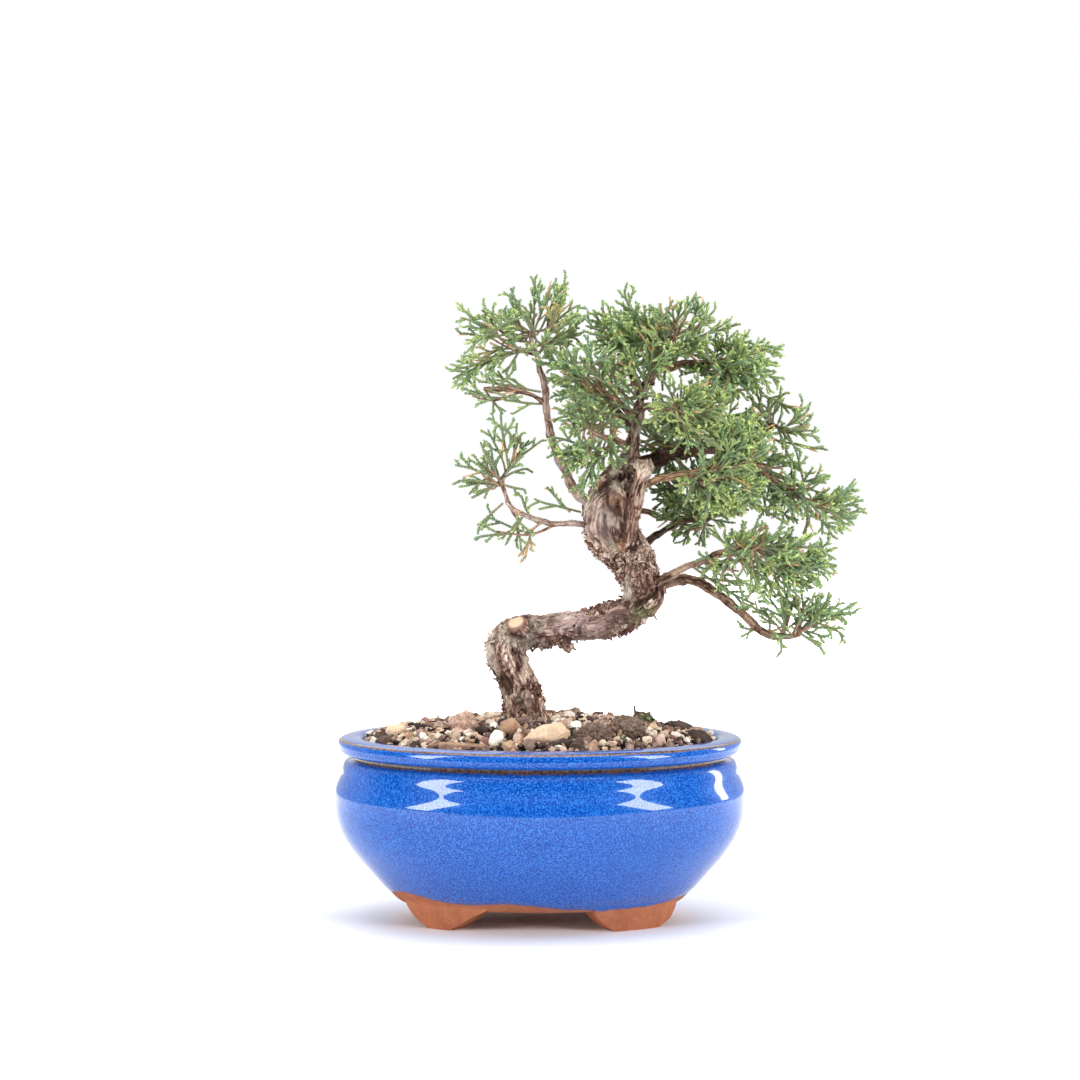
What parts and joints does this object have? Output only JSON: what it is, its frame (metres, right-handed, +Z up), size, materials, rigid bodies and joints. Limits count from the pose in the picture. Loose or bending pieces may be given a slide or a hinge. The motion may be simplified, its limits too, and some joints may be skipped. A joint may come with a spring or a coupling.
{
  "type": "potted bonsai tree",
  "caption": "Juniper bonsai with a zig-zag trunk and scale-leaf sprays, growing in gritty soil in an oval glazed pot on bracket feet.",
  "frame": {"origin": "on the ground, under the middle of the whole plant's outer box; the pot's own centre is 22.2 mm to the left of it, along -X, because the foliage reaches further to the right", "axes": "+Z up; X along the pot's long axis, with the foliage reaching further towards +X; -Y faces the viewer"},
  "size_m": [0.2058, 0.1214, 0.2533],
  "materials": {
    "glaze": "gloss",
    "plastic": "matte",
    "soil": "matte",
    "wood": "matte",
    "twig": "matte",
    "foliage": "matte",
    "tan_stone": "matte",
    "pale_stone": "matte",
    "red_stone": "matte",
    "bark": "matte"
  },
  "bodies": {
    "root": {"bark_chip_edge": "bark", "bark_chip_long": "bark", "bark_chip_mossy": "bark", "bark_chip_right": "bark", "branch_back_left": "twig", "branch_back_low": "twig", "branch_back_right": "twig", "branch_crown_left": "twig", "branch_far_right": "twig", "branch_front_crown": "twig", "branch_gold": "twig", "branch_heart_left": "twig", "branch_left_spur": "twig", "branch_low_left": "twig", "branch_low_right": "twig", "branch_right_red": "twig", "branch_right_thin": "twig", "branch_tall_left": "twig", "branch_thick_right": "twig", "branch_top_right": "twig", "branch_upper_right": "twig", "foliage_apex_left": "foliage", "foliage_apex_right": "foliage", "foliage_back_crown": "foliage", "foliage_back_edge": "foliage", "foliage_back_left": "foliage", "foliage_back_low": "foliage", "foliage_back_right": "foliage", "foliage_crown_centre": "foliage", "foliage_crown_left": "foliage", "foliage_crown_left_tip": "foliage", "foliage_far_right": "foliage", "foliage_front_crown": "foliage", "foliage_heart_left": "foliage", "foliage_left_spur": "foliage", "foliage_low_left_tip": "foliage", "foliage_low_left_top": "foliage", "foliage_low_left_under": "foliage", "foliage_low_right": "foliage", "foliage_low_right_tip": "foliage", "foliage_right_heart": "foliage", "foliage_right_mid": "foliage", "foliage_right_mid_tip": "foliage", "foliage_right_shoulder": "foliage", "foliage_top_right": "foliage", "foliage_under_heart": "foliage", "foliage_upper_right": "foliage", "lump_left": "red_stone", "lump_right": "red_stone", "pebble_large": "tan_stone", "pebble_olive": "pale_stone", "pebble_red": "red_stone", "pebble_tan": "tan_stone", "pebble_white": "pale_stone", "pot": "glaze", "screen_left": "plastic", "screen_right": "plastic", "soil": "soil", "trunk": "wood"}
  },
  "joints": []
}
